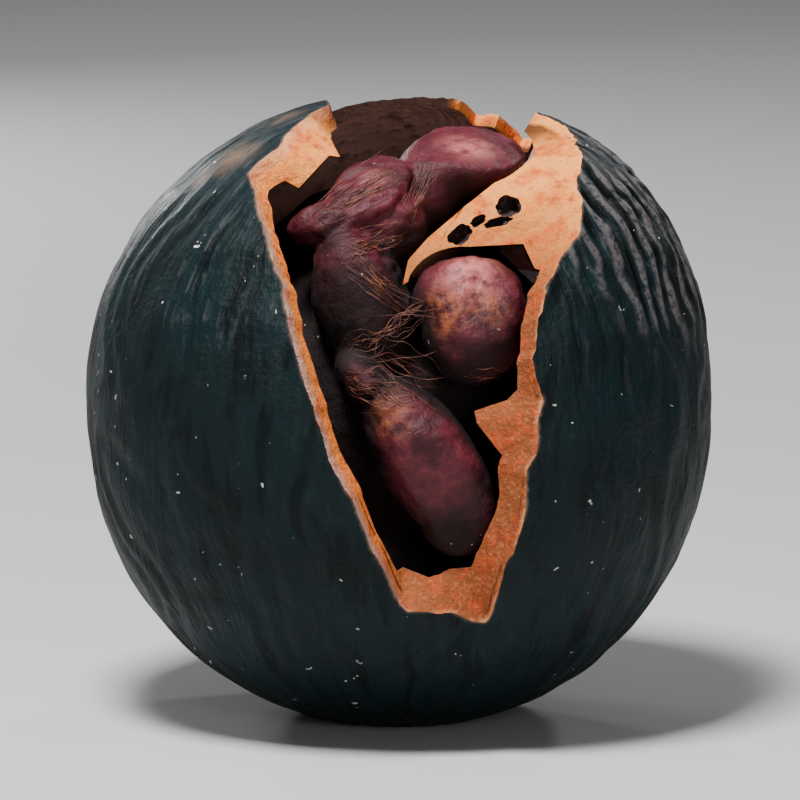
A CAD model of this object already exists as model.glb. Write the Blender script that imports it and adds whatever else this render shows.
# %% [markdown]
# A hickory nut, cracked open and close up.
#
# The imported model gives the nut's true size and place. This lesson dresses it: the same rounded
# shapes are made again with far more detail, then cut, coloured and lit. Everything is worked out
# in millimetres from the nut's centre, because round numbers are easier to reason about, and each
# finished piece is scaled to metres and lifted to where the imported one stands.

# %% Load the frame
import math
import random

import bmesh
import bpy
import numpy as np
from mathutils import Matrix, Vector, noise
from mathutils.bvhtree import BVHTree
from mathutils.kdtree import KDTree


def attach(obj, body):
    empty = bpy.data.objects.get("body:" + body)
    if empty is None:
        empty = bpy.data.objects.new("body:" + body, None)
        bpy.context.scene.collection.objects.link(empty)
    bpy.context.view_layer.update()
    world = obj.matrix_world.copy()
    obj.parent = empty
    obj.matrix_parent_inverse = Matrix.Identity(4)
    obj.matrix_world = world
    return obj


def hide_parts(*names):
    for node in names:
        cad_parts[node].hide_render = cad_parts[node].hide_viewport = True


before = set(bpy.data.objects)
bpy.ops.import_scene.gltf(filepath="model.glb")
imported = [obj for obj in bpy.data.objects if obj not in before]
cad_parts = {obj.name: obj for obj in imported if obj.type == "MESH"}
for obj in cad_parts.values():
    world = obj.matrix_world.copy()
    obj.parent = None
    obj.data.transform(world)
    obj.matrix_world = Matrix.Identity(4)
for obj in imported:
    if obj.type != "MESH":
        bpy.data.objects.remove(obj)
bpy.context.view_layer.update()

# %% [markdown]
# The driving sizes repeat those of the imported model. A nut is nearly a ball, but each of its three
# half lengths differs a little, and it is faintly four-sided. One exponent tells how much: 2 is an
# ellipsoid, and larger numbers grow corners.

# %% Sizes of the nut
MM = 0.001
HALF_WIDTH = 11.5
HALF_DEPTH = 11.1
HEIGHT_ABOVE_CENTRE = 11.4
HEIGHT_BELOW_CENTRE = 11.9
FLAT_SPOT_DEPTH = 0.35
CENTRE_HEIGHT = HEIGHT_BELOW_CENTRE - FLAT_SPOT_DEPTH
SQUARENESS = 2.1
SHOULDER_DIRECTION = Vector((0.68, -0.1, 0.72)).normalized()
SHOULDER_HEIGHT = 0.45
SHOULDER_SPREAD = 0.45
WALL = 1.05
BASE_WALL_EXTRA = 0.75
BASE_WALL_START = 0.45
THIN_WALL_DIRECTION = Vector((0.08, 0.3, 0.95)).normalized()
THIN_WALL_SPREAD = 0.5
THIN_WALL_LOSS = 0.68
KERNEL_GAP = 0.35


def smooth_radius(direction):
    """Radius of the outside in a unit direction, without its relief."""
    height = HEIGHT_ABOVE_CENTRE if direction.z > 0 else HEIGHT_BELOW_CENTRE
    shares = (direction.x / HALF_WIDTH, direction.y / HALF_DEPTH, direction.z / height)
    radius = sum(abs(share) ** SQUARENESS for share in shares) ** (-1 / SQUARENESS)
    off_shoulder = direction.angle(SHOULDER_DIRECTION) / SHOULDER_SPREAD
    return radius + SHOULDER_HEIGHT * math.exp(-(off_shoulder**2))


def inner_radius(direction):
    """Radius of the inner wall: the wall is thickest round the base and thinnest behind the apex."""
    base_share = max(0.0, -direction.z - BASE_WALL_START) / (1 - BASE_WALL_START)
    off_thin = direction.angle(THIN_WALL_DIRECTION) / THIN_WALL_SPREAD
    thinning = THIN_WALL_LOSS * math.exp(-(off_thin**2))
    return smooth_radius(direction) - WALL - BASE_WALL_EXTRA * base_share + thinning


print("height of the nut's centre in mm:", CENTRE_HEIGHT)

# %% [markdown]
# A plane of drawing makes the front easy to lay out: right and up as the camera sees them, and a
# third number towards the camera. The camera looks down on the nut by ten degrees, so up leans back.

# %% The drawing plane
SIGHT_ELEVATION = math.radians(10)
RIGHT = Vector((1, 0, 0))
UP = Vector((0, math.sin(SIGHT_ELEVATION), math.cos(SIGHT_ELEVATION)))
TOWARDS = Vector((0, -math.cos(SIGHT_ELEVATION), math.sin(SIGHT_ELEVATION)))


def laid_out(right, up, towards):
    """A point of the drawing plane, with its height towards the eye, in the nut's directions."""
    return RIGHT * right + UP * up + TOWARDS * towards


# %% [markdown]
# The camera stands well back with a long lens, as for a small thing photographed close up, so the
# nut isn't swollen by perspective. Its lens follows from the distance and the width to be seen.

# %% Camera
CAMERA_DISTANCE = 600
FRAME_WIDTH = 29.5
FRAME_CENTRE = laid_out(0.0, 0.1, 0) + Vector((0, 0, CENTRE_HEIGHT))

camera_data = bpy.data.cameras.new("camera")
camera_data.sensor_width = 36
camera_data.lens = camera_data.sensor_width * CAMERA_DISTANCE / FRAME_WIDTH
camera_data.clip_start = 0.01
camera = bpy.data.objects.new("camera", camera_data)
camera.location = (FRAME_CENTRE + TOWARDS * CAMERA_DISTANCE) * MM
camera.rotation_euler = (-TOWARDS).to_track_quat("-Z", "Y").to_euler()
bpy.context.scene.collection.objects.link(camera)
bpy.context.scene.camera = camera
print("lens in mm:", round(camera_data.lens))

# %% [markdown]
# A sphere whose points are moved to a radius worked out for each direction gives every round shape
# here. The operator makes the sphere, so its faces already point outwards and its poles are closed.
# Relief is noise in layers: each layer is a pair of how fine it is and how high.


# %% Round shapes
def round_shape(segments, rings, radius_of):
    """A sphere whose every point is moved to the radius that its direction asks for."""
    shape = bmesh.new()
    bmesh.ops.create_uvsphere(shape, u_segments=segments, v_segments=rings, radius=1)
    for vertex in shape.verts:
        direction = vertex.co.normalized()
        vertex.co = direction * radius_of(direction)
    return shape


def layered_noise(point, layers):
    """Noise at several sizes, added up."""
    return sum(height * noise.noise(point * fineness) for fineness, height in layers)


def as_object(name, shape, *materials):
    """Puts a finished bmesh into the scene, still in millimetres round the nut's centre."""
    mesh = bpy.data.meshes.new(name)
    shape.to_mesh(mesh)
    shape.free()
    for material in materials:
        mesh.materials.append(material)
    obj = bpy.data.objects.new(name, mesh)
    bpy.context.scene.collection.objects.link(obj)
    return obj


def apply_modifiers(obj):
    """Replaces an object's mesh by what its modifiers make of it."""
    depsgraph = bpy.context.evaluated_depsgraph_get()
    mesh = bpy.data.meshes.new_from_object(obj.evaluated_get(depsgraph))
    obj.modifiers.clear()
    obj.data = mesh


def combine(obj, operation, other):
    """Cuts or joins another closed shape, which is used up. Faces keep their materials."""
    modifier = obj.modifiers.new(operation.title(), "BOOLEAN")
    modifier.operation = operation
    modifier.solver = "MANIFOLD"
    modifier.material_mode = "TRANSFER"
    modifier.object = other
    apply_modifiers(obj)
    bpy.data.objects.remove(other)


def put_in_place(obj):
    """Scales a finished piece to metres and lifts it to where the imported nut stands."""
    lift = Matrix.Translation((0, 0, CENTRE_HEIGHT * MM))
    obj.data.transform(lift @ Matrix.Scale(MM, 4))
    obj.data.update()


# %% [markdown]
# Shared effects are node groups. Each is built once here and gets its own values wherever it is
# used. Sizes are given in millimetres: the group turns Object coordinates into millimetres from
# the nut's centre first. Small helpers add a node, set it up and link what feeds it, so that a
# material can be written as the sums that it is.


# %% Node helpers
FADE_OUTSIDE = 1.2
FADE_INSIDE = 0.5


def add_node(tree, kind, inputs=None, **settings):
    """Adds a node. Each input is a number, a colour or the output socket that feeds it."""
    node = tree.nodes.new(kind)
    for name, value in settings.items():
        setattr(node, name, value)
    for socket, value in (inputs or {}).items():
        if isinstance(value, bpy.types.NodeSocket):
            tree.links.new(value, node.inputs[socket])
        else:
            node.inputs[socket].default_value = value
    return node


def maths(tree, operation, *values):
    """A Math node's output."""
    node = add_node(tree, "ShaderNodeMath", dict(enumerate(values)), operation=operation)
    return node.outputs[0]


def plus(tree, total, *values):
    """The sum of the values."""
    for value in values:
        total = maths(tree, "ADD", total, value)
    return total


def times(tree, product, *values):
    """The product of the values."""
    for value in values:
        product = maths(tree, "MULTIPLY", product, value)
    return product


def vector_maths(tree, operation, *values, output="Vector"):
    """A Vector Math node's output."""
    inputs = dict(enumerate(values))
    return add_node(tree, "ShaderNodeVectorMath", inputs, operation=operation).outputs[output]


def scaled(tree, vector, factor):
    """A vector made longer or shorter."""
    inputs = {0: vector, "Scale": factor}
    return add_node(tree, "ShaderNodeVectorMath", inputs, operation="SCALE").outputs["Vector"]


def parts_of(tree, vector):
    """The X, Y and Z of a vector."""
    return add_node(tree, "ShaderNodeSeparateXYZ", {0: vector}).outputs


def stored_number(tree, name):
    """A number that is stored on the mesh under a name."""
    return add_node(tree, "ShaderNodeAttribute", attribute_name=name).outputs["Fac"]


def mask(tree, value, start, end):
    """0 where the value is at start, 1 where it is at end, and smooth between."""
    inputs = {"Value": value, "From Min": start, "From Max": end}
    node = add_node(tree, "ShaderNodeMapRange", inputs, interpolation_type="SMOOTHSTEP")
    return node.outputs["Result"]


def blend_colour(tree, factor, first, second):
    """A Mix node's colour. The factor goes from the first colour to the second."""
    node = add_node(tree, "ShaderNodeMix", data_type="RGBA")
    for socket, value in ((0, factor), (6, first), (7, second)):
        if isinstance(value, bpy.types.NodeSocket):
            tree.links.new(value, node.inputs[socket])
        else:
            node.inputs[socket].default_value = (*value, 1) if socket > 0 else value
    return node.outputs[2]


def lay_over(tree, colour, over, *shares):
    """A colour with another laid over it. The shares are multiplied: where, and how fully."""
    return blend_colour(tree, times(tree, *shares), colour, over)


def near_places(tree, place, places, ragged):
    """1 near any of the named places on the drawing plane, and 0 away from them all."""
    nearest = 0.0
    for spot, radius in places.values():
        away = vector_maths(tree, "DISTANCE", place, laid_out(*spot), output="Value")
        away = plus(tree, away, ragged)
        near = mask(tree, away, radius + FADE_OUTSIDE, radius - FADE_INSIDE)
        nearest = maths(tree, "MAXIMUM", nearest, near)
    return nearest


def new_group(name, inputs, outputs):
    """An empty node group with named number sockets. An output named Place is a vector."""
    group = bpy.data.node_groups.new(name, "ShaderNodeTree")
    for socket_name, default in inputs.items():
        socket = group.interface.new_socket(socket_name, in_out="INPUT", socket_type="NodeSocketFloat")
        socket.default_value = default
    for socket_name in outputs:
        kind = "NodeSocketVector" if socket_name == "Place" else "NodeSocketFloat"
        group.interface.new_socket(socket_name, in_out="OUTPUT", socket_type=kind)
    return group, group.nodes.new("NodeGroupInput"), group.nodes.new("NodeGroupOutput")


def use_group(tree, group, **values):
    """Places a group in a tree. Input names are written with underscores for spaces."""
    inputs = {name.replace("_", " "): value for name, value in values.items()}
    return add_node(tree, "ShaderNodeGroup", inputs, node_tree=group).outputs


# %% [markdown]
# The first group gives the place on the nut in millimetres from its centre.

# %% Group: place on the nut
place_group, _, place_out = new_group("place_in_millimetres", {}, ("Place",))
object_place = add_node(place_group, "ShaderNodeTexCoord").outputs["Object"]
from_centre = vector_maths(place_group, "SUBTRACT", object_place, (0, 0, CENTRE_HEIGHT * MM))
place_group.links.new(scaled(place_group, from_centre, 1 / MM), place_out.inputs["Place"])

# %% [markdown]
# The skin's folds run from apex to base like lines of longitude. Stretching a noise that way by
# its angle would leave a seam at the back, so the group reads the noise at a point on a circle
# instead: the direction round the axis, scaled by how many folds there are, and the height. The
# place wanders a little first, so that the folds aren't ruled lines.

# %% Group: folds along the meridians
WANDER_SCALE = 0.28
WANDER_REACH = 10

fold_group, fold_in, fold_out = new_group(
    "folds_along_the_meridians", {"Count": 20, "Along": 0.2, "Wander": 0.6, "Detail": 2}, ("Value",)
)
place = use_group(fold_group, place_group)["Place"]
inputs = {"Vector": place, "Scale": WANDER_SCALE, "Detail": 1}
wander = add_node(fold_group, "ShaderNodeTexNoise", inputs).outputs["Color"]
wander = vector_maths(fold_group, "SUBTRACT", wander, (0.5, 0.5, 0.5))
wander = scaled(fold_group, wander, times(fold_group, fold_in.outputs["Wander"], WANDER_REACH))
wandering = vector_maths(fold_group, "ADD", place, wander)
sideways = vector_maths(fold_group, "MULTIPLY", wandering, (1, 1, 0))
round_axis = vector_maths(fold_group, "NORMALIZE", sideways)
round_axis = scaled(fold_group, round_axis, fold_in.outputs["Count"])
height = times(fold_group, parts_of(fold_group, place)["Z"], fold_in.outputs["Along"])
upright = add_node(fold_group, "ShaderNodeCombineXYZ", {"Z": height}).outputs[0]
fold_place = vector_maths(fold_group, "ADD", round_axis, upright)
inputs = {"Vector": fold_place, "Scale": 1, "Detail": fold_in.outputs["Detail"]}
fold_noise = add_node(fold_group, "ShaderNodeTexNoise", inputs)
fold_group.links.new(fold_noise.outputs[0], fold_out.inputs["Value"])

# %% [markdown]
# Grain is noise at two sizes, for wood fibre and for the skin's fine roughness. Specks are the
# middles of Voronoi cells. The place is warped first and most cells are left bare by a random
# number of their own, so the specks lie scattered and not in a grid. Another random number makes
# some of them faint.

# %% Groups: grain and specks
FINE_GRAIN = 3.3
DRIFT_SCALE = 1.7
SMALLEST_SPECK = 0.35
FAINTEST_SPECK = 0.25

grain_group, grain_in, grain_out = new_group("grain", {"Size": 0.3, "Detail": 4}, ("Value", "Fine"))
place = use_group(grain_group, place_group)["Place"]
per_mm = maths(grain_group, "DIVIDE", 1, grain_in.outputs["Size"])
for socket, finer in (("Value", 1), ("Fine", FINE_GRAIN)):
    inputs = {
        "Vector": place,
        "Scale": times(grain_group, per_mm, finer),
        "Detail": grain_in.outputs["Detail"],
        "Roughness": 0.6,
    }
    grain_noise = add_node(grain_group, "ShaderNodeTexNoise", inputs)
    grain_group.links.new(grain_noise.outputs[0], grain_out.inputs[socket])

speck_group, speck_in, speck_out = new_group(
    "specks", {"Spacing": 1, "Radius": 0.07, "Share": 0.3}, ("Value",)
)
speck_spacing = speck_in.outputs["Spacing"]
speck_share = speck_in.outputs["Share"]
place = use_group(speck_group, place_group)["Place"]
inputs = {"Vector": place, "Scale": DRIFT_SCALE, "Detail": 3}
drift = add_node(speck_group, "ShaderNodeTexNoise", inputs).outputs["Color"]
warped = vector_maths(speck_group, "ADD", place, drift)
inputs = {"Vector": warped, "Scale": maths(speck_group, "DIVIDE", 1, speck_spacing)}
cells = add_node(speck_group, "ShaderNodeTexVoronoi", inputs)
cell_numbers = add_node(speck_group, "ShaderNodeSeparateColor", {0: cells.outputs["Color"]}).outputs
reach = times(speck_group, cells.outputs["Distance"], speck_spacing)
growth = maths(speck_group, "DIVIDE", cell_numbers[0], speck_share)
growth = plus(speck_group, SMALLEST_SPECK, growth)
speck_size = times(speck_group, speck_in.outputs["Radius"], growth)
inside = maths(speck_group, "LESS_THAN", reach, speck_size)
chosen = maths(speck_group, "LESS_THAN", cell_numbers[0], speck_share)
brightness = times(speck_group, cell_numbers[1], 1 - FAINTEST_SPECK)
brightness = plus(speck_group, FAINTEST_SPECK, brightness)
shown = times(speck_group, inside, chosen, brightness)
speck_group.links.new(shown, speck_out.inputs["Value"])
print("node groups:", [group.name for group in bpy.data.node_groups])

# %% [markdown]
# The skin is nearly black with a breath of blue and green, polished by handling but not a mirror.
# Its colour follows the folds: ridges are rubbed grey, most of all in the upper half, and furrows
# stay dark. It is worn grey-brown beside the apex and brighter polished on the left shoulder. Pale
# dust sits on it in tiny specks, and the rim of the break has lost its colour. The rim and the
# shoulder's ridges are found with attributes that are stored on the mesh further down.


# %% Material: skin
def start_material(name):
    """A material with its node tree and its Principled shader."""
    material = bpy.data.materials.new(name)
    material.use_nodes = True
    return material, material.node_tree, material.node_tree.nodes["Principled BSDF"]


def finish_material(tree, shader, colour, roughness, specular, height, relief_mm):
    """Feeds the shader. The roughness is a number or a socket, and relief_mm scales the height."""
    tree.links.new(colour, shader.inputs["Base Color"])
    if isinstance(roughness, bpy.types.NodeSocket):
        tree.links.new(roughness, shader.inputs["Roughness"])
    else:
        shader.inputs["Roughness"].default_value = roughness
    shader.inputs["Specular IOR Level"].default_value = specular
    bump = add_node(tree, "ShaderNodeBump", {"Height": height, "Distance": relief_mm * MM})
    tree.links.new(bump.outputs["Normal"], shader.inputs["Normal"])


SKIN_DARK = (0.0050, 0.0110, 0.0120)
SKIN_BLUE = (0.0038, 0.0128, 0.0148)
SKIN_FURROW = (0.0012, 0.0020, 0.0024)
SKIN_RUBBED = (0.070, 0.072, 0.074)
SKIN_RIDGE = (0.105, 0.092, 0.094)
SKIN_WORN = (0.200, 0.125, 0.085)
DUST = (0.60, 0.60, 0.57)
RIM_GREY = (0.20, 0.125, 0.092)
WORN_PLACES = {
    "beside the apex": ((-6.2, 9.1, 4.2), 0.9),
    "left of the apex": ((-7.2, 8.3, 4.0), 0.4),
    "above the left edge": ((-4.2, 10.6, 2.4), 0.5),
}
POLISHED_PLACES = {"left shoulder": ((-8.1, 7.4, 3.0), 0.4)}

skin, tree, shader = start_material("nut_skin")
place = use_group(tree, place_group)["Place"]
folds = use_group(tree, fold_group, Count=15, Along=0.30, Wander=0.14, Detail=3)["Value"]
streaks = use_group(tree, fold_group, Count=40, Along=0.60, Wander=0.10, Detail=5)["Value"]
grain = use_group(tree, grain_group, Size=0.8, Detail=5)
patches = use_group(tree, grain_group, Size=3.5, Detail=3)["Value"]
colour = blend_colour(tree, mask(tree, patches, 0.4, 0.6), SKIN_DARK, SKIN_BLUE)
colour = lay_over(tree, colour, SKIN_FURROW, mask(tree, folds, 0.48, 0.34), 0.7)
upper_half = mask(tree, parts_of(tree, place)["Z"], 0.0, 8.0)
upper_share = plus(tree, 0.18, times(tree, upper_half, 0.82))
scratched = times(tree, mask(tree, streaks, 0.50, 0.64), mask(tree, grain["Value"], 0.42, 0.60))
rubbed = times(tree, scratched, mask(tree, patches, 0.36, 0.60), upper_share)
colour = lay_over(tree, colour, SKIN_RUBBED, rubbed, 0.6)
ridges = stored_number(tree, "ridge")
colour = lay_over(tree, colour, SKIN_FURROW, mask(tree, ridges, -0.15, -0.50))
on_ridge = times(tree, mask(tree, ridges, 0.0, 0.34), mask(tree, grain["Fine"], 0.30, 0.56))
colour = lay_over(tree, colour, SKIN_RIDGE, on_ridge, 0.9)
worn = near_places(tree, place, WORN_PLACES, times(tree, grain["Value"], 1.2))
colour = lay_over(tree, colour, SKIN_WORN, worn, 0.8)
ragged_rim = plus(tree, stored_number(tree, "rim_distance"), times(tree, grain["Fine"], 0.22))
rim_worn = times(tree, mask(tree, ragged_rim, 0.24, 0.10), mask(tree, patches, 0.40, 0.60))
colour = lay_over(tree, colour, RIM_GREY, rim_worn, 0.7)
dust = use_group(tree, speck_group, Spacing=0.60, Radius=0.062, Share=0.42)["Value"]
colour = lay_over(tree, colour, DUST, dust)
polished = near_places(tree, place, POLISHED_PLACES, grain["Value"])
roughness = plus(tree, 0.36, times(tree, grain["Value"], 0.34), times(tree, polished, -0.30))
height = plus(tree, times(tree, folds, 0.8), times(tree, streaks, 0.5))
height = plus(tree, height, times(tree, grain["Fine"], 0.45))
finish_material(tree, shader, colour, roughness, 0.12, height, 0.16)

# %% [markdown]
# Broken wall is bare stony wood, with red-brown flecks and pin-holes where vessels were cut. The
# colour drifts over the nut with the place, as it does on the real one: peach at the upper right,
# deep orange towards the foot of the opening, grey-brown down the left edge, and dark brown on the
# rim behind the apex. Here and there the outer rim is pale.

# %% Material: broken wood
WOOD_PALE = (0.97, 0.50, 0.22)
WOOD_PEACH = (0.98, 0.35, 0.075)
WOOD_TAN = (0.82, 0.215, 0.034)
WOOD_ORANGE = (0.20, 0.047, 0.021)
WOOD_RED = (0.55, 0.085, 0.022)
WOOD_FLECK = (0.36, 0.045, 0.010)
WOOD_GREY = (0.46, 0.260, 0.200)
WOOD_BROWN = (0.030, 0.012, 0.008)
WOOD_PIT = (0.025, 0.009, 0.006)
RUDDY_PLACES = {
    "middle of the torn face": ((5.7, 7.5, 8.0), 0.5),
    "above the middle lobe": ((4.9, 6.4, 8.2), 0.4),
}

broken_wood, tree, shader = start_material("broken_wood")
place = use_group(tree, place_group)["Place"]
parts = parts_of(tree, place)
grain = use_group(tree, grain_group, Size=0.50, Detail=6)
clouds = use_group(tree, grain_group, Size=1.1, Detail=4)["Value"]
colour = blend_colour(tree, mask(tree, clouds, 0.42, 0.62), WOOD_PEACH, WOOD_TAN)
ragged_height = plus(tree, parts["Z"], times(tree, clouds, 3.0))
colour = lay_over(tree, colour, WOOD_ORANGE, mask(tree, ragged_height, 10.4, 6.4), 0.90)
ragged_rim = plus(tree, stored_number(tree, "rim_distance"), times(tree, grain["Value"], 0.30))
rim_pale = times(tree, mask(tree, ragged_rim, 0.36, 0.18), mask(tree, clouds, 0.44, 0.58))
colour = lay_over(tree, colour, WOOD_PALE, rim_pale, 0.35)
below_quad = mask(tree, parts["Z"], 8.6, 7.6)
greyed = plus(tree, 0.38, times(tree, below_quad, 0.52))
greyed = times(tree, greyed, mask(tree, parts["X"], 0.8, -1.8))
left_colour = blend_colour(tree, mask(tree, ragged_rim, 0.46, 0.70), WOOD_GREY, WOOD_TAN)
colour = lay_over(tree, colour, left_colour, greyed)
reddened = times(tree, mask(tree, grain["Value"], 0.45, 0.60), mask(tree, clouds, 0.40, 0.56))
colour = lay_over(tree, colour, WOOD_RED, reddened, 0.65)
ruddy = near_places(tree, place, RUDDY_PLACES, clouds)
ruddy = times(tree, ruddy, mask(tree, grain["Value"], 0.36, 0.60))
colour = lay_over(tree, colour, WOOD_RED, ruddy, 0.75)
flecks = times(tree, mask(tree, grain["Value"], 0.60, 0.68), mask(tree, clouds, 0.46, 0.56))
colour = lay_over(tree, colour, WOOD_FLECK, flecks, 0.8)
colour = lay_over(tree, colour, WOOD_PALE, mask(tree, grain["Fine"], 0.54, 0.68), 0.18)
behind = mask(tree, parts["Y"], -2.0, 0.5)
left_behind = times(tree, behind, mask(tree, parts["X"], 2.3, 1.7))
colour = lay_over(tree, colour, WOOD_BROWN, left_behind)
inner_edge = times(tree, behind, mask(tree, ragged_rim, 0.45, 0.75))
colour = lay_over(tree, colour, WOOD_PIT, inner_edge, 0.9)
pits = use_group(tree, speck_group, Spacing=0.42, Radius=0.035, Share=0.35)["Value"]
colour = lay_over(tree, colour, WOOD_PIT, pits, 0.7)
height = plus(tree, grain["Value"], times(tree, grain["Fine"], 0.5), times(tree, pits, -0.6))
finish_material(tree, shader, colour, 0.75, 0.10, height, 0.16)

# %% [markdown]
# The inner wall is lined with the dried papery skin that lay between shell and seed: brown, dull
# and blotched, lighter at the back and black in the deep corners. It follows the same fold group
# as the outside.

# %% Material: inner wall
LINING_BROWN = (0.36, 0.140, 0.095)
LINING_ORANGE = (0.50, 0.215, 0.130)
LINING_LIGHT = (1.0, 0.60, 0.50)
LINING_DARK = (0.200, 0.070, 0.050)
LINING_BLACK = (0.006, 0.003, 0.003)
BLACKENED_PLACES = {
    "over the middle lobe": ((3.2, 5.2, 6.5), 1.9),
    "right of the middle lobe": ((5.0, 3.8, 7.0), 1.9),
    "under the quad": ((-4.2, 7.0, 6.5), 1.2),
    "right of the lower lobe": ((3.6, -2.6, 7.5), 1.6),
}

inner_wall, tree, shader = start_material("inner_wall")
place = use_group(tree, place_group)["Place"]
folds = use_group(tree, fold_group, Count=12, Along=0.2, Wander=0.25, Detail=4)["Value"]
grain = use_group(tree, grain_group, Size=0.6, Detail=5)
colour = blend_colour(tree, mask(tree, folds, 0.38, 0.62), LINING_BROWN, LINING_ORANGE)
behind = mask(tree, parts_of(tree, place)["Y"], -1.5, 1.5)
colour = lay_over(tree, colour, LINING_LIGHT, behind, 0.9)
colour = lay_over(tree, colour, LINING_DARK, mask(tree, grain["Value"], 0.50, 0.72), 0.7)
blackened = near_places(tree, place, BLACKENED_PLACES, grain["Value"])
colour = lay_over(tree, colour, LINING_BLACK, blackened)
finish_material(tree, shader, colour, 0.62, 0.25, plus(tree, grain["Value"], folds), 0.12)

# %% [markdown]
# The seed coat is thin, plum coloured and waxy, with a satin gloss. It darkens to maroon between
# the lobes and down the sides, pales to a dusty pink on their tops, and where the lobes have rubbed
# the shell it is worn to a golden tan. All these places are named by where they are on the drawing
# plane, in millimetres.

# %% Material: seed coat
COAT_PLUM = (0.095, 0.012, 0.021)
COAT_MAROON = (0.036, 0.005, 0.009)
COAT_DARK = (0.0045, 0.0016, 0.0020)
COAT_PINK = (0.19, 0.034, 0.038)
COAT_LIT = (0.60, 0.180, 0.165)
COAT_GOLD = (0.56, 0.165, 0.055)
CRUMB = (0.75, 0.50, 0.36)
RUBBED_PLACES = {
    "left of the middle lobe": ((1.5, 3.4, 9.0), 0.9),
    "head of the lower lobe": ((-0.7, -0.1, 9.4), 1.1),
    "right of the middle lobe": ((3.3, 3.5, 9.0), 0.4),
}
LIT_PLACES = {
    "top of the middle lobe": ((2.5, 4.8, 8.4), 1.1),
    "top of the upper lobe": ((2.6, 10.0, 4.2), 1.2),
    "top of the band": ((-1.0, 8.4, 6.2), 0.4),
}
SHADED_PLACES = {
    "left lobe": ((-2.2, 3.4, 7.8), 2.5),
    "underside of the upper lobe": ((2.2, 7.6, 4.8), 1.2),
    "underside of the band": ((-2.6, 5.4, 7.2), 0.9),
    "right side of the lower lobe": ((3.4, -3.0, 8.4), 0.8),
    "foot of the lower lobe": ((1.8, -5.2, 8.6), 1.6),
    "left side of the lower lobe": ((-0.8, -2.4, 8.4), 1.4),
    "foot of the middle lobe": ((3.0, 1.3, 8.8), 1.5),
    "hollow between the lobes": ((0.6, 1.2, 8.0), 1.7),
    "top of the left gap": ((-4.0, 4.8, 8.6), 1.0),
    "middle of the left gap": ((-3.2, 1.4, 9.3), 0.9),
    "foot of the left gap": ((-1.6, -2.8, 9.2), 0.9),
    "over the base": ((0.0, -5.2, 8.4), 1.2),
    "cleft beside the septum": ((0.4, 5.2, 6.8), 0.8),
}

seed_coat, tree, shader = start_material("seed_coat")
place = use_group(tree, place_group)["Place"]
grain = use_group(tree, grain_group, Size=0.5, Detail=6)
clouds = use_group(tree, grain_group, Size=1.9, Detail=3)["Value"]
colour = blend_colour(tree, mask(tree, clouds, 0.38, 0.64), COAT_MAROON, COAT_PLUM)
colour = lay_over(tree, colour, COAT_PINK, mask(tree, grain["Value"], 0.42, 0.74), 0.35)
ragged = times(tree, clouds, 1.2)
lit = near_places(tree, place, LIT_PLACES, ragged)
lit = times(tree, lit, mask(tree, grain["Value"], 0.24, 0.60))
colour = lay_over(tree, colour, COAT_LIT, lit, 0.9)
spotted = near_places(tree, place, RUBBED_PLACES, ragged)
spotted = times(tree, spotted, mask(tree, grain["Value"], 0.34, 0.68))
colour = lay_over(tree, colour, COAT_GOLD, spotted, 0.62)
from_centre_mm = vector_maths(tree, "LENGTH", place, output="Value")
sunken = mask(tree, plus(tree, from_centre_mm, clouds), 10.2, 9.0)
shaded = times(tree, near_places(tree, place, SHADED_PLACES, ragged), 0.9)
darkened = times(tree, maths(tree, "MAXIMUM", sunken, shaded), 0.95)
colour = lay_over(tree, colour, COAT_DARK, darkened)
crumbs = use_group(tree, speck_group, Spacing=0.5, Radius=0.05, Share=0.25)["Value"]
colour = lay_over(tree, colour, CRUMB, crumbs, 0.8)
roughness = plus(tree, 0.30, times(tree, grain["Value"], 0.34), times(tree, darkened, 0.30))
roughness = plus(tree, roughness, times(tree, lit, -0.14))
height = plus(tree, grain["Value"], times(tree, grain["Fine"], 0.5))
finish_material(tree, shader, colour, roughness, 0.24, height, 0.09)

# %% [markdown]
# Two small finishes are left. Dried pith, almost black, lines the little holes in the thick septum.
# Loose fibres of the papery partitions cling to the seed, tan where they are thin and brown where
# they have clumped.

# %% Materials: pith and fibre
PITH_DARK = (0.016, 0.006, 0.006)
PITH_BROWN = (0.10, 0.032, 0.022)
FIBRE_TAN = (0.30, 0.105, 0.048)
FIBRE_BROWN = (0.075, 0.020, 0.014)

pith, tree, shader = start_material("pith")
grain = use_group(tree, grain_group, Size=0.3, Detail=4)
colour = blend_colour(tree, mask(tree, grain["Value"], 0.50, 0.66), PITH_DARK, PITH_BROWN)
finish_material(tree, shader, colour, 0.8, 0.5, grain["Value"], 0.1)

fibre, tree, shader = start_material("fibre")
grain = use_group(tree, grain_group, Size=0.5, Detail=3)
colour = blend_colour(tree, mask(tree, grain["Value"], 0.36, 0.54), FIBRE_TAN, FIBRE_BROWN)
finish_material(tree, shader, colour, 0.55, 0.5, grain["Fine"], 0.03)
print("materials:", [material.name for material in bpy.data.materials])

# %% [markdown]
# The outside. Its relief is real geometry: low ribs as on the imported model, folds that wander
# down from the apex, close ridges on the creased shoulder, and a little unevenness so that no
# outline is perfectly round. The sphere has more segments round it than rings, because the folds
# run up and down and need the finer steps across them.

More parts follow.
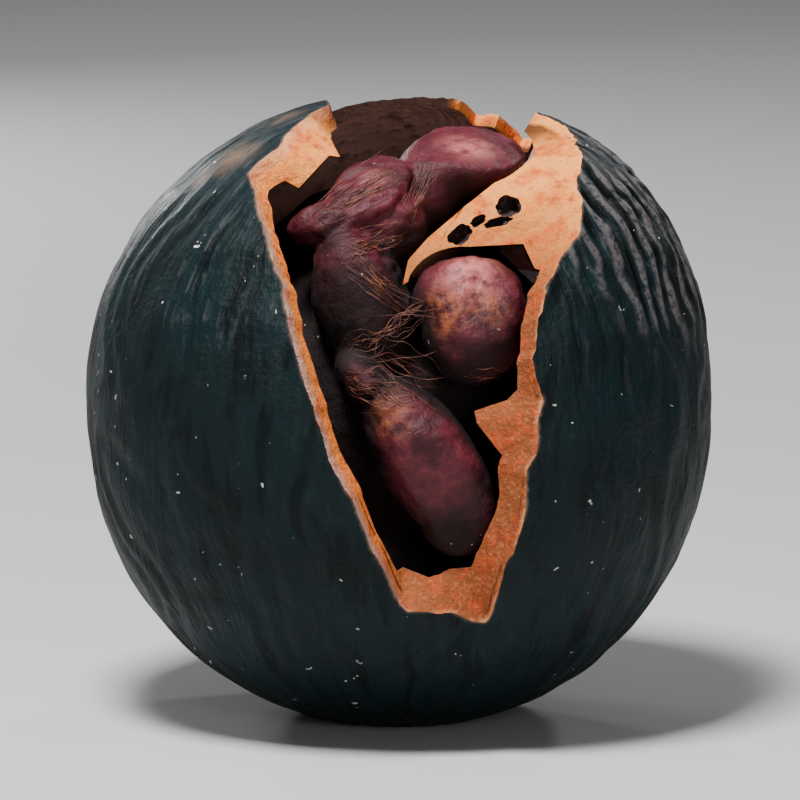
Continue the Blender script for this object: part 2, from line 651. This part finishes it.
# %% The skin
RIB_COUNT = 22
RIB_HEIGHT = 0.05
RIB_WANDER = ((3, 0.5),)
FOLD_HEIGHT = 0.085
FINE_FOLD_HEIGHT = 0.03
FOLD_WANDER = ((4.5, 0.13), (13, 0.035))
FOLD_FINENESS = (16, 3.6)
FINE_FOLD_FINENESS = (38, 8)
FOLD_STRENGTH = 0.42
SHOULDER_FOLD_STRENGTH = 0.9
SHOULDER_FOLD_SPREAD = 0.75
POLE_FADE = 0.4
UNEVENNESS = ((1.7, 0.12),)
RIDGE_COUNT = 66
RIDGE_HEIGHT = 0.07
RIDGE_DIRECTION = laid_out(8.6, 7.0, 3.6).normalized()
RIDGE_SPREAD = 0.43
RIDGE_WANDER = ((2.6, 0.09), (9, 0.04))
RIDGE_BREAKS = ((17, 0.6),)
RIDGE_PATCHES = ((6, 0.7),)
RIDGE_MEAN = 0.65
SKIN_SEGMENTS = 560
SKIN_RINGS = 150


def shoulder_ridges(direction):
    """The creased shoulder beside the opening: above 0 on its ridges and below 0 in its furrows."""
    turned = math.atan2(direction.y, direction.x) + layered_noise(direction, RIDGE_WANDER)
    wave = math.sin(RIDGE_COUNT * turned) + layered_noise(direction, RIDGE_BREAKS)
    patchy = RIDGE_MEAN + layered_noise(direction, RIDGE_PATCHES)
    fade = math.exp(-((direction.angle(RIDGE_DIRECTION) / RIDGE_SPREAD) ** 4))
    return wave * patchy * fade


def fold_noise_at(around, down, fineness):
    """Noise on a cylinder round the nut, so that it has no seam and runs up and down."""
    sideways, along = fineness
    circle = Vector((math.cos(around), math.sin(around), 0))
    return noise.noise(circle * sideways + Vector((0, 0, down * along)))


def skin_relief(direction):
    """Height of ribs, folds and unevenness over the smooth roundness."""
    around = math.atan2(direction.y, direction.x)
    down = math.acos(max(-1.0, min(1.0, direction.z)))
    rib = RIB_HEIGHT * math.sin(RIB_COUNT * (around + layered_noise(direction, RIB_WANDER)))
    turned = around + layered_noise(direction, FOLD_WANDER)
    fold = FOLD_HEIGHT * fold_noise_at(turned, down, FOLD_FINENESS)
    fine_fold = FINE_FOLD_HEIGHT * fold_noise_at(turned, down, FINE_FOLD_FINENESS)
    shoulder = math.exp(-((direction.angle(SHOULDER_DIRECTION) / SHOULDER_FOLD_SPREAD) ** 2))
    strength = FOLD_STRENGTH + SHOULDER_FOLD_STRENGTH * shoulder
    relief = (fold + fine_fold) * strength * min(1.0, math.sin(down) / POLE_FADE)
    relief += RIDGE_HEIGHT * shoulder_ridges(direction)
    return relief + rib * max(0.0, 1 - direction.z**4) + layered_noise(direction, UNEVENNESS)


skin_shape = round_shape(
    SKIN_SEGMENTS, SKIN_RINGS, lambda direction: smooth_radius(direction) + skin_relief(direction)
)
for vertex in skin_shape.verts:
    vertex.co.z = max(vertex.co.z, -CENTRE_HEIGHT)
shell = as_object("shell_dressed", skin_shape, skin, broken_wood, inner_wall)
print("skin faces:", len(shell.data.polygons))

# %% [markdown]
# The hollow. The wall is a millimetre thick, and ridges called septa grow from it between the
# lobes of the seed. Each septum starts as a flat outline on the drawing plane, pushed back along
# the line of sight between two heights. They are cut out of the hollow here, so that they stay when
# the hollow is cut out of the nut.

# %% The hollow and its septa
SEPTA = {
    "upper_septum": (
        ((7.5, 10.2), (5.0, 9.6), (4.7, 8.9), (3.9, 8.4), (2.4, 7.2), (1.0, 6.0), (0.3, 5.2),
         (0.1, 4.3), (1.2, 4.9), (2.6, 5.7), (4.5, 5.8), (4.9, 4.9), (7.5, 4.0)),
        11.0,
        0.5,
    ),
    "lower_septum": (
        ((7.0, 1.6), (4.7, 0.9), (3.9, 0.1), (2.7, -0.3), (2.8, -0.75), (3.7, -1.9), (7.0, -3.4)),
        11.0,
        1.0,
    ),
    "apex_block": (
        ((-7.5, 9.6), (-5.3, 8.7), (-3.7, 7.85), (-2.6, 9.05), (-2.2, 9.0), (-2.6, 9.8),
         (-3.4, 12.0), (-7.5, 12.0)),
        9.0,
        0.5,
    ),
    "base_block": (
        ((-2.0, -7.6), (0.1, -6.0), (1.15, -6.4), (1.8, -6.05), (3.0, -5.95), (3.15, -6.8),
         (4.6, -7.6), (4.6, -10.5), (-2.0, -10.5)),
        10.0,
        2.0,
    ),
}
HOLLOW_DENTS = ((6, 0.08),)
HOLLOW_SEGMENTS = 150
HOLLOW_RINGS = 90


def hollow_radius(direction):
    """The inner wall with its shallow dents."""
    return inner_radius(direction) + layered_noise(direction, HOLLOW_DENTS)


def make_septum(name, outline, near, far):
    """A flat outline on the drawing plane, pushed back along the line of sight."""
    shape = bmesh.new()
    corners = [shape.verts.new(laid_out(right, up, near)) for right, up in outline]
    face = shape.faces.new(corners)
    extruded = bmesh.ops.extrude_face_region(shape, geom=[face])
    moved = [item for item in extruded["geom"] if isinstance(item, bmesh.types.BMVert)]
    bmesh.ops.translate(shape, verts=moved, vec=TOWARDS * (far - near))
    bmesh.ops.recalc_face_normals(shape, faces=shape.faces)
    return as_object(name, shape, inner_wall)


hollow = round_shape(HOLLOW_SEGMENTS, HOLLOW_RINGS, hollow_radius)
cavity = as_object("cavity", hollow, inner_wall)
for name, (outline, near, far) in SEPTA.items():
    combine(cavity, "DIFFERENCE", make_septum(name, outline, near, far))

# %% [markdown]
# The seed's lobes are ellipsoids laid out on the drawing plane: centre, half lengths and the turn
# of the long one. Each is pressed flat where it meets the inner wall, as the real ones are. Grown
# by the gap, the same shapes are the rooms that the lobes lie in, and they shape the septa.

# %% Lobes of the seed
LOBES = {
    "upper": ((2.5, 9.0, 3.1), (2.4, 1.55, 2.2), 23),
    "upper_left": ((1.0, 7.9, 3.3), (2.2, 1.5, 2.1), 60),
    "band": ((-1.2, 7.4, 5.2), (2.0, 1.35, 1.9), 50),
    "band_tip": ((-2.5, 6.55, 5.7), (1.7, 0.8, 1.5), 10),
    "fibrous": ((-0.4, 6.4, 4.9), (1.7, 1.4, 1.8), 60),
    "left": ((-1.4, 3.6, 6.1), (3.0, 1.75, 2.2), -75),
    "middle": ((2.75, 2.9, 7.3), (2.3, 1.95, 2.1), 80),
    "middle_upper": ((2.5, 3.75, 7.1), (2.1, 1.65, 1.9), 0),
    "lower": ((1.05, -2.15, 7.7), (3.6, 1.75, 2.0), -56),
    "lower_end": ((2.0, -3.9, 7.3), (1.75, 1.35, 1.7), -85),
    "curl": ((-1.2, 0.7, 7.2), (1.5, 0.9, 1.6), -50),
    "right_side": ((6.2, 0.8, 3.6), (3.9, 3.4, 3.6), 90),
    "left_side": ((-6.2, 0.4, 3.4), (4.4, 3.2, 3.8), 90),
    "back_right": ((4.3, 0.0, -5.2), (5.0, 4.0, 4.2), 90),
    "back_left": ((-4.3, 0.0, -5.2), (5.0, 4.0, 4.2), 90),
    "top_back": ((-0.6, 5.4, -1.6), (4.4, 2.8, 3.6), 0),
    "base": ((-0.8, -6.2, 1.0), (4.2, 3.2, 4.0), 0),
}
LOBE_SEGMENTS = 56
LOBE_RINGS = 32
CORE_RADIUS = 6.6
CORE_SEGMENTS = 64
CORE_RINGS = 40


def make_lobe(name, centre, half_lengths, turn, growth, material):
    """An ellipsoid lobe, pressed flat by the inner wall. growth is the room round it."""
    long, across, deep = (length + growth for length in half_lengths)
    in_plane = Matrix.Rotation(math.radians(turn), 3, "Z") @ Matrix.Diagonal((long, across, deep))
    shape = bmesh.new()
    bmesh.ops.create_uvsphere(shape, u_segments=LOBE_SEGMENTS, v_segments=LOBE_RINGS, radius=1)
    for vertex in shape.verts:
        right, up, towards = in_plane @ vertex.co
        point = laid_out(centre[0] + right, centre[1] + up, centre[2] + towards)
        limit = inner_radius(point.normalized()) - KERNEL_GAP + growth
        vertex.co = point * min(1, limit / point.length)
    return as_object(name, shape, material)


def make_core(name, growth, material):
    """The round heart of the seed, which the lobes are joined to."""
    core = round_shape(CORE_SEGMENTS, CORE_RINGS, lambda direction: CORE_RADIUS + growth)
    return as_object(name, core, material)


for name, lobe in LOBES.items():
    combine(cavity, "UNION", make_lobe(name + "_room", *lobe, KERNEL_GAP, inner_wall))
combine(cavity, "UNION", make_core("core_room", KERNEL_GAP, inner_wall))
combine(shell, "DIFFERENCE", cavity)
print("shell faces after hollowing:", len(shell.data.polygons))

# %% [markdown]
# What broke away is a closed shape of its own: a sphere round the axis of the opening. Its inner
# side is pushed in to be the surface of the break, and its outer side arches clear of the skin.
# The outline gives, for angles round that axis, how far the opening reaches in degrees and how
# steeply the break goes into the wall: steep where only a thin edge shows, shallow where a broad
# tan face does. The rings of the arch give a share of that reach, degrees beyond it and a height.

# %% What broke away
OPENING_ELEVATION = math.radians(32.5)
OPENING_AXIS = Vector((0, -math.cos(OPENING_ELEVATION), math.sin(OPENING_ELEVATION)))
OPENING_UP = Vector((0, math.sin(OPENING_ELEVATION), math.cos(OPENING_ELEVATION)))
OPENING_OUTLINE = (
    (4, 27.4, 8.0), (14, 30.4, 8.0), (22, 35.6, 4.0), (30, 40.6, 1.6),
    (37, 42.5, 1.0), (45, 50.5, 0.8), (53, 60, 0.8), (58, 63.5, 1.0),
    (62.5, 65.5, 3.0), (64, 88, 10.0), (66.5, 91, 10.0), (69.5, 87, 10.0),
    (71.5, 82.5, 10.0), (76, 84.5, 10.0), (78.2, 76, 10.0), (80.5, 74, 10.0),
    (91, 77, 10.0), (100, 81, 10.0), (104, 84, 10.0), (105.5, 56, 8.0),
    (109, 54.5, 0.9), (118, 47.5, 0.8), (124, 44, 0.8), (131, 43.5, 1.5),
    (135, 42.5, 5.0), (139.5, 37, 10.0), (151, 29.2, 10.0), (163, 25, 10.0),
    (177, 22, 10.0), (193, 21.2, 10.0), (209, 22.2, 10.0), (234, 27.2, 10.0),
    (248, 35.7, 10.0), (257, 41.7, 10.0), (266, 54.5, 10.0), (270, 62.2, 10.0),
    (271.5, 64, 1.0), (279, 64.5, 1.0), (287, 69, 1.0), (289.5, 64, 1.6),
    (293, 58.5, 2.0), (301, 49.8, 2.3), (307, 43, 2.0), (316, 38.1, 1.3),
    (324, 34.3, 1.1), (328, 31, 3.0), (333, 28.7, 8.0), (349, 26.6, 8.0),
)
BREAK_FLOOR = 2.5
EDGE_BLEND = 0.5
BREAK_SEGMENTS = 560
BREAK_RINGS = 60
BREAK_CROWDING = 1.3
BREAK_GRAIN = ((1.1, 0.10), (3.2, 0.05), (8, 0.025))
BREAK_GRAIN_FADE = 0.15
NICKS = ((0.7, 0.65), (2.6, 0.28))
ARCH_RINGS = ((1, 6, 2.0), (0.9, 5, 5.0), (0.5, 3, 6.0), (0, 0, 7.0))


def from_opening_axis(reach, around):
    """Unit direction at angles from and round the opening's axis, in degrees."""
    out = math.radians(reach)
    turn = math.radians(around)
    side = RIGHT * math.cos(turn) + OPENING_UP * math.sin(turn)
    return OPENING_AXIS * math.cos(out) + side * math.sin(out)


def outline_at(around):
    """Reach and steepness of the opening at an angle round its axis, with small nicks."""
    angles, reaches, steepnesses = zip(*OPENING_OUTLINE)
    reach = np.interp(around, angles, reaches, period=360)
    steepness = np.interp(around, angles, steepnesses, period=360)
    on_edge = from_opening_axis(reach, around) * HALF_WIDTH
    return reach + layered_noise(on_edge, NICKS), steepness


def make_broken_piece():
    """A sphere round the opening's axis, one side of it pushed in to be the break."""
    arounds = np.arange(BREAK_SEGMENTS) * 360 / BREAK_SEGMENTS
    reaches, steepness = np.array([outline_at(around) for around in arounds]).T
    edge = np.array([from_opening_axis(*angles) for angles in zip(reaches, arounds)])
    ring_count = BREAK_RINGS + len(ARCH_RINGS)
    shape = bmesh.new()
    bmesh.ops.create_uvsphere(shape, u_segments=BREAK_SEGMENTS, v_segments=ring_count, radius=1)
    for vertex in shape.verts:
        ring = round(vertex.co.angle(Vector((0, 0, 1))) / math.pi * ring_count)
        around = math.degrees(math.atan2(vertex.co.y, vertex.co.x))
        reach, _ = outline_at(around)
        if ring <= BREAK_RINGS:
            share = 1 - (1 - ring / BREAK_RINGS) ** BREAK_CROWDING
            direction = from_opening_axis(reach * share, around)
            gaps = np.arccos(np.clip(edge @ np.array(direction), -1, 1)) * HALF_WIDTH
            gap = gaps.min()
            weights = np.exp(-(gaps - gap) / EDGE_BLEND)
            slope = (weights @ steepness) / weights.sum()
            depth = BREAK_FLOOR * (1 - math.exp(-slope * gap / BREAK_FLOOR))
            point = direction * (smooth_radius(direction) - depth)
            relief = layered_noise(point, BREAK_GRAIN) * min(1.0, gap / BREAK_GRAIN_FADE)
            vertex.co = point + direction * relief
        else:
            share, beyond, lift = ARCH_RINGS[ring - BREAK_RINGS - 1]
            direction = from_opening_axis(reach * share + beyond, around)
            vertex.co = direction * (smooth_radius(direction) + lift)
    bmesh.ops.reverse_faces(shape, faces=shape.faces)
    return as_object("broken_piece", shape, broken_wood)


combine(shell, "DIFFERENCE", make_broken_piece())
print("shell faces after the break:", len(shell.data.polygons))

# %% [markdown]
# The thick septum isn't solid. Where it tore, a few small holes show, with dried pith in them. Each
# is an ellipsoid sunk into the torn face. A ray down the line of sight finds the face, so a hole
# needs only its place on the drawing plane.

# %% Holes in the septum
HOLES = (
    ((3.95, 7.20), (0.47, 0.42, 0.8), 0),
    ((3.58, 6.60), (0.54, 0.17, 0.6), 16),
    ((2.20, 6.12), (0.52, 0.34, 0.8), 42),
    ((2.86, 6.64), (0.32, 0.18, 0.5), 35),
)
HOLE_SEGMENTS = 28
HOLE_RINGS = 18
HOLE_ROUGHNESS = 0.25
HOLE_ROUGHNESS_FINENESS = 2
RAY_START = 20
HEIGHT_BESIDE_THE_SURFACE = 6.0


def surface_tree(obj):
    """A tree for casting rays at an object that is still in millimetres."""
    return BVHTree.FromObject(obj, bpy.context.evaluated_depsgraph_get())


def height_towards(surface, right, up):
    """How far towards the eye a surface stands at a place on the drawing plane."""
    distance = surface.ray_cast(laid_out(right, up, RAY_START), -TOWARDS)[3]
    return HEIGHT_BESIDE_THE_SURFACE if distance is None else RAY_START - distance


torn_face = surface_tree(shell)
for (right, up), half_lengths, turn in HOLES:
    in_plane = Matrix.Rotation(math.radians(turn), 3, "Z") @ Matrix.Diagonal(half_lengths)
    towards = height_towards(torn_face, right, up)
    shape = bmesh.new()
    bmesh.ops.create_uvsphere(shape, u_segments=HOLE_SEGMENTS, v_segments=HOLE_RINGS, radius=1)
    for vertex in shape.verts:
        noise_place = vertex.co * HOLE_ROUGHNESS_FINENESS + Vector((right, up, 0))
        step = in_plane @ vertex.co * (1 + HOLE_ROUGHNESS * noise.noise(noise_place))
        vertex.co = laid_out(right + step.x, up + step.y, towards + step.z)
    combine(shell, "DIFFERENCE", as_object("hole", shape, pith))
print("shell faces with holes:", len(shell.data.polygons))

# %% [markdown]
# Finishing the shell: slivers that the cuts left loose are dropped, and two attributes are stored
# for the materials. One is each point's distance to the rim, where the skin meets the break, and
# the other is the height of the shoulder's ridges. Faces are shaded smooth, except across edges
# that turn sharply.

# %% Finish the shell
SHARP_ANGLE = math.radians(42)
FARTHEST_FROM_RIM = 3.0


def drop_loose_slivers(obj):
    """Keeps the largest connected island of an object and tells how many others it dropped."""
    shape = bmesh.new()
    shape.from_mesh(obj.data)
    unseen = set(shape.verts)
    islands = []
    while unseen:
        island = [unseen.pop()]
        for vertex in island:
            for edge in vertex.link_edges:
                other = edge.other_vert(vertex)
                if other in unseen:
                    unseen.remove(other)
                    island.append(other)
        islands.append(island)
    islands.sort(key=len)
    loose = [vertex for island in islands[:-1] for vertex in island]
    bmesh.ops.delete(shape, geom=loose, context="VERTS")
    shape.to_mesh(obj.data)
    shape.free()
    return len(islands) - 1


def store_numbers(obj, name, numbers):
    """Stores a number for each point of an object under a name."""
    obj.data.attributes.new(name, "FLOAT", "POINT").data.foreach_set("value", numbers)


def store_rim_and_ridges(obj):
    """Stores how far each point is from the rim of the break and how high its ridge is."""
    mesh = obj.data
    sides = [set() for _ in mesh.vertices]
    for polygon in mesh.polygons:
        for index in polygon.vertices:
            sides[index].add(polygon.material_index)
    rim = [index for index, found in enumerate(sides) if len(found) > 1 and 0 in found]
    tree_of_rim = KDTree(len(rim))
    for number, index in enumerate(rim):
        tree_of_rim.insert(mesh.vertices[index].co, number)
    tree_of_rim.balance()
    distances = [tree_of_rim.find(vertex.co)[2] for vertex in mesh.vertices]
    near_distances = [min(FARTHEST_FROM_RIM, distance) for distance in distances]
    store_numbers(obj, "rim_distance", near_distances)
    heights = [shoulder_ridges(vertex.co.normalized()) for vertex in mesh.vertices]
    store_numbers(obj, "ridge", heights)
    return len(rim)


print("loose slivers dropped:", drop_loose_slivers(shell))
print("rim points:", store_rim_and_ridges(shell))
shell.data.shade_smooth()
shell.data.set_sharp_from_angle(angle=SHARP_ANGLE)
put_in_place(shell)
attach(shell, "root")
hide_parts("shell")

# %% [markdown]
# The seed. Its lobes grew from one heart, so they are joined, and a voxel remesh melts the joins
# into the soft creases that a real kernel has. Low relief is then pushed out along the normals:
# broad swellings, and fine creases that are strongest in the fibrous band.

# %% The seed
VOXEL = 0.14
SMOOTHINGS = 8
SWELLINGS = ((0.8, 0.10), (2.4, 0.05))
FIBROUS_PLACES = (((-1.6, 7.3, 7.0), 2.3), ((-1.2, 0.4, 9.3), 1.6), ((0.2, 5.8, 7.0), 1.5))
FIBRE_SLANT = math.radians(30)
FIBRE_DIRECTION = laid_out(math.cos(FIBRE_SLANT), math.sin(FIBRE_SLANT), 0)
FIBRE_RELIEF = 0.22
FINENESS_ACROSS_FIBRES = 3.6
FINENESS_ALONG_FIBRES = 0.9


def fibrous_share(point):
    """1 where the seed coat is fibrous and 0 where it is smooth."""
    share = 0.0
    for centre, radius in FIBROUS_PLACES:
        share = max(share, math.exp(-(((point - laid_out(*centre)).length / radius) ** 2)))
    return share


def coat_relief(point):
    """Height of the seed coat's swellings, and of its creases where it is fibrous."""
    along = FIBRE_DIRECTION * point.dot(FIBRE_DIRECTION)
    across = point - along
    fibres = noise.noise(across * FINENESS_ACROSS_FIBRES + along * FINENESS_ALONG_FIBRES)
    return layered_noise(point, SWELLINGS) + FIBRE_RELIEF * fibres * fibrous_share(point)


kernel = make_core("kernel_dressed", 0, seed_coat)
for name, lobe in LOBES.items():
    combine(kernel, "UNION", make_lobe(name + "_lobe", *lobe, 0, seed_coat))
remesh = kernel.modifiers.new("Remesh", "REMESH")
remesh.mode = "VOXEL"
remesh.voxel_size = VOXEL
smooth = kernel.modifiers.new("Smooth", "SMOOTH")
smooth.iterations = SMOOTHINGS
apply_modifiers(kernel)
relief = [coat_relief(vertex.co) for vertex in kernel.data.vertices]
normals = [vertex.normal.copy() for vertex in kernel.data.vertices]
for vertex, normal, height in zip(kernel.data.vertices, normals, relief):
    vertex.co += normal * height
kernel.data.shade_smooth()
coat_surface = surface_tree(kernel)
put_in_place(kernel)
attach(kernel, "root")
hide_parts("kernel")
print("kernel faces:", len(kernel.data.polygons))

# %% [markdown]
# Fibres cling to the seed and bridge its creases. Each is a curve with a thin round bevel. A tuft
# gives two places on the drawing plane, how far the ends scatter round them, how many fibres it has
# and how much they curl. A fibre lies on the coat where the coat stands higher than the straight
# line between its ends, and hangs free elsewhere.

# %% Fibres
FIBRE_POINTS = 14
FIBRE_RADIUS = 0.011
FIBRE_SEED = 11
THICKNESSES = (0.5, 1.3)
TIP_THICKNESS = 0.3
END_SCATTER = 0.6
RIPPLE_SHARE = 0.25
RIPPLE_TURNS = (1.5, 3.5)
LEAST_LIFT = 0.02
LIFT_OF_BOW = 0.5
WELD_DISTANCE = 0.0005
TUFTS = {
    "along the band": ((-3.0, 6.8), (-0.2, 8.3), 0.45, 22, 0.10),
    "across the foot of the band": ((-2.1, 5.5), (-0.2, 6.3), 0.55, 16, 0.18),
    "down the upper lobe": ((1.2, 8.6), (0.2, 6.8), 0.40, 12, 0.12),
    "over the left lobe": ((-1.8, 5.2), (0.4, 3.4), 0.45, 18, 0.12),
    "beside the middle lobe": ((-0.8, 2.3), (0.9, 3.4), 0.50, 16, 0.26),
    "foot of the left lobe": ((-1.9, 2.1), (-0.7, 2.4), 0.30, 9, 0.26),
    "in the hollow": ((-0.9, 1.6), (1.5, 0.8), 0.60, 14, 0.30),
    "head of the lower lobe": ((-1.9, 0.7), (0.1, 0.1), 0.40, 22, 0.35),
    "under the middle lobe": ((2.4, 0.9), (4.0, 1.0), 0.20, 5, 0.10),
}


def fibre_path(draw, start, end, spread, curl):
    """Points of one fibre on the drawing plane, with their heights towards the eye."""
    first = Vector(start) + Vector((draw.gauss(0, spread), draw.gauss(0, spread))) * END_SCATTER
    last = Vector(end) + Vector((draw.gauss(0, spread), draw.gauss(0, spread))) * END_SCATTER
    sideways = Vector((first.y - last.y, last.x - first.x)).normalized()
    bow = draw.gauss(0, curl)
    ripple = draw.gauss(0, curl * RIPPLE_SHARE)
    turns = draw.uniform(*RIPPLE_TURNS)
    flat = []
    for number in range(FIBRE_POINTS):
        share = number / (FIBRE_POINTS - 1)
        shift = bow * math.sin(math.pi * share) + ripple * math.sin(2 * math.pi * turns * share)
        flat.append(first.lerp(last, share) + sideways * shift)
    ground = [height_towards(coat_surface, *spot) for spot in flat]
    path = []
    for number, (spot, coat_height) in enumerate(zip(flat, ground)):
        share = number / (FIBRE_POINTS - 1)
        straight = ground[0] + (ground[-1] - ground[0]) * share
        lift = LEAST_LIFT + LIFT_OF_BOW * abs(bow) * math.sin(math.pi * share)
        path.append(laid_out(*spot, max(coat_height, straight) + lift))
    return path


def make_fibres(name, tufts, material):
    """All the fibres as one mesh of thin tapering tubes."""
    draw = random.Random(FIBRE_SEED)
    curve = bpy.data.curves.new(name, "CURVE")
    curve.dimensions = "3D"
    curve.bevel_depth = FIBRE_RADIUS
    curve.bevel_resolution = 1
    curve.use_fill_caps = True
    for start, end, spread, count, curl in tufts.values():
        for _ in range(count):
            path = fibre_path(draw, start, end, spread, curl)
            thickness = draw.uniform(*THICKNESSES)
            spline = curve.splines.new("POLY")
            spline.points.add(len(path) - 1)
            for number, (point, place_mm) in enumerate(zip(spline.points, path)):
                share = number / (len(path) - 1)
                point.co = (*place_mm, 1)
                middle_share = math.sin(math.pi * share)
                point.radius = thickness * (TIP_THICKNESS + (1 - TIP_THICKNESS) * middle_share)
    threads = bpy.data.objects.new(name, curve)
    bpy.context.scene.collection.objects.link(threads)
    depsgraph = bpy.context.evaluated_depsgraph_get()
    shape = bmesh.new()
    shape.from_mesh(bpy.data.meshes.new_from_object(threads.evaluated_get(depsgraph)))
    bpy.data.objects.remove(threads)
    bmesh.ops.remove_doubles(shape, verts=shape.verts, dist=WELD_DISTANCE)
    return as_object(name + "_mesh", shape, material)


fibres = make_fibres("kernel_fibres", TUFTS, fibre)
fibres.data.shade_smooth()
put_in_place(fibres)
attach(fibres, "root")
print("fibre faces:", len(fibres.data.polygons))

# %% [markdown]
# The nut stands on a plain pale floor. Light falls from high above, a little from the left and the
# front, so the lobes are bright on top and sink into shade below. A weak panel beside the camera
# reaches the back wall of the hollow. One behind draws a thin gloss on the left shoulder, and two
# small ones put a glint on either shoulder.


# %% Floor and light
def add_panel(name, place_mm, aim_mm, width_mm, power):
    """A square light panel that points at a place. Places are in millimetres."""
    light = bpy.data.lights.new(name, "AREA")
    light.size = width_mm * MM
    light.energy = power
    panel = bpy.data.objects.new(name, light)
    panel.location = place_mm * MM
    panel.rotation_euler = (aim_mm - place_mm).to_track_quat("-Z", "Y").to_euler()
    bpy.context.scene.collection.objects.link(panel)


NUT_CENTRE = Vector((0, 0, CENTRE_HEIGHT))
FLOOR_HALF_WIDTH = 1000
FLOOR_DARK = (0.56, 0.55, 0.54)
FLOOR_PALE = (0.60, 0.59, 0.58)
SKY_COLOUR = (0.80, 0.86, 0.95, 1)
SKY_STRENGTH = 0.10

add_panel("key_panel", Vector((-22, -42, 135)), NUT_CENTRE, 34, 0.40)
add_panel("front_panel", Vector((50, -150, 45)), NUT_CENTRE, 60, 0.050)
add_panel("back_panel", Vector((-75, 125, 60)), NUT_CENTRE, 40, 0.035)
add_panel("right_glint_panel", Vector((72, 115, 78)), NUT_CENTRE, 12, 0.035)
add_panel("left_glint_panel", Vector((-50, 140, 33)), NUT_CENTRE, 10, 0.040)

floor_shape = bmesh.new()
bmesh.ops.create_grid(floor_shape, x_segments=1, y_segments=1, size=FLOOR_HALF_WIDTH * MM)
floor_material, tree, shader = start_material("floor")
floor_tint = add_node(tree, "ShaderNodeTexNoise", {"Scale": 40.0, "Detail": 3})
colour = blend_colour(tree, floor_tint.outputs[0], FLOOR_DARK, FLOOR_PALE)
tree.links.new(colour, shader.inputs["Base Color"])
shader.inputs["Roughness"].default_value = 0.8
floor = as_object("floor", floor_shape, floor_material)

world = bpy.data.worlds.new("sky")
world.use_nodes = True
sky = world.node_tree.nodes["Background"]
sky.inputs["Color"].default_value = SKY_COLOUR
sky.inputs["Strength"].default_value = SKY_STRENGTH
bpy.context.scene.world = world
